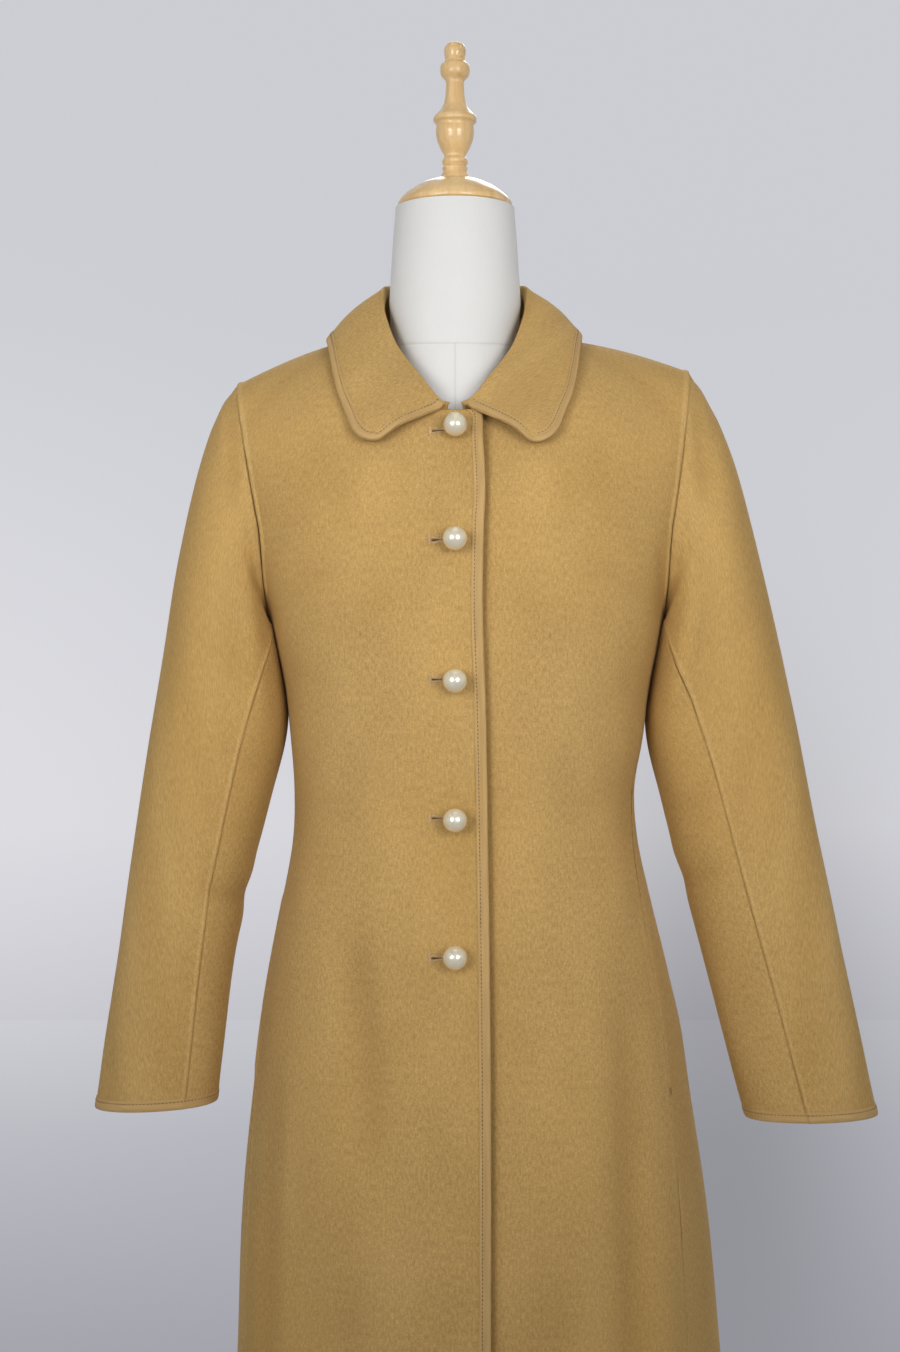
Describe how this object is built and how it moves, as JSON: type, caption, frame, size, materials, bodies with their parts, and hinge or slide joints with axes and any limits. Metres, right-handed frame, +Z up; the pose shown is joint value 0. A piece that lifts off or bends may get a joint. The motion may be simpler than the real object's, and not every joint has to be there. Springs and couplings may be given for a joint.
{
  "type": "wool coat on dress form",
  "caption": "Knee-length fitted wool coat with a round-cornered bound collar, ball buttons and set-in sleeves, buttoned on a limbless dress form with a turned wooden finial and a round stand.",
  "frame": {"origin": "centre of the underside of the stand's round base", "axes": "+Z up along the post; the coat faces -Y, so the wearer's left is at +X"},
  "size_m": [0.6772, 0.38, 1.633],
  "materials": {
    "wool": "soft brushed double-face wool",
    "binding": "smooth woven strip",
    "pearl": "pearly lustre",
    "form_cloth": "tight plain cover",
    "wood": "clear gloss varnish"
  },
  "bodies": {
    "root": {"front_right": "wool", "front_left": "wool", "back": "wool", "sleeve_right_top": "wool", "sleeve_right_under": "wool", "sleeve_left_top": "wool", "sleeve_left_under": "wool", "collar": "wool", "binding_front": "binding", "binding_collar": "binding", "binding_cuff_right": "binding", "binding_cuff_left": "binding", "button_1": "pearl", "button_2": "pearl", "button_3": "pearl", "button_4": "pearl", "button_5": "pearl", "form_torso": "form_cloth", "form_neck_cap": "wood", "form_finial": "wood", "form_post": "wood", "form_base": "wood"}
  },
  "joints": []
}
